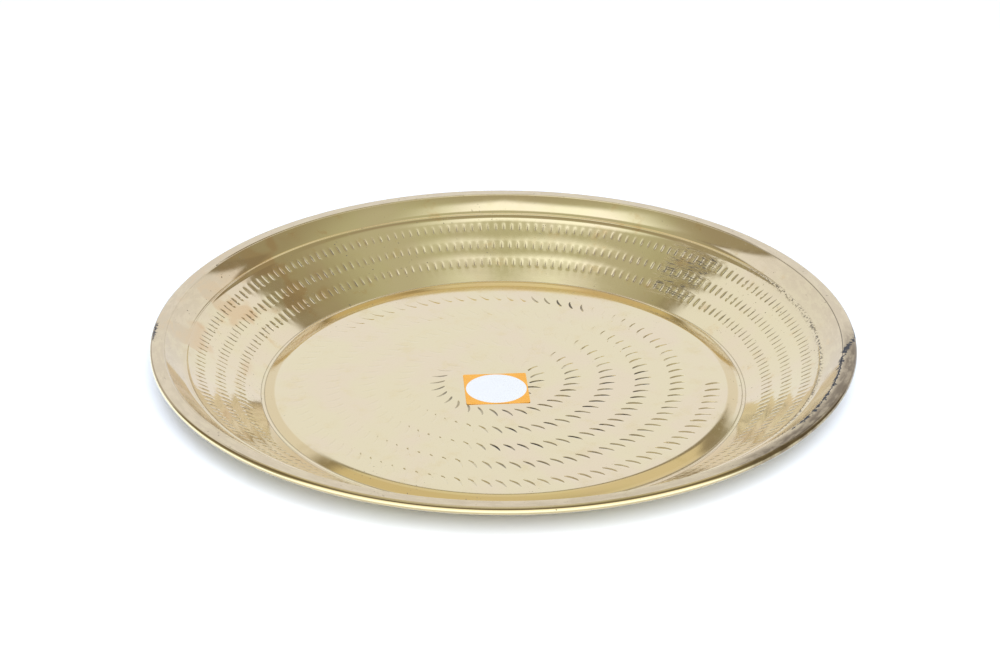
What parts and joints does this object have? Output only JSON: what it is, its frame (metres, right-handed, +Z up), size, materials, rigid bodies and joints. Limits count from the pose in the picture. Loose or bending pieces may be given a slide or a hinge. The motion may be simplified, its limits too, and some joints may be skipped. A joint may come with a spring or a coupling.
{
  "type": "brass tray",
  "caption": "Round spun brass tray with a raised flat centre, a scored sloping wall, a flared band and a rolled wired rim.",
  "frame": {"origin": "middle of the foot ring that the tray stands on, in the plane it stands on", "axes": "+Z up through the open side, along the axis that the tray was spun about; +X to the right and +Y to the back when the label's corner faces the viewer"},
  "size_m": [0.28, 0.28, 0.0257],
  "materials": {
    "pan_brass": "polished, spun, with scored and punched marks and light tarnish",
    "wire_brass": "drawn wire, unpolished, hidden in the rolled rim",
    "label_paper": "matt paper sticker with a plain pale oval, nothing written on it"
  },
  "bodies": {
    "root": {"spun_pan": "pan_brass", "rim_wire": "wire_brass", "price_label": "label_paper"}
  },
  "joints": []
}
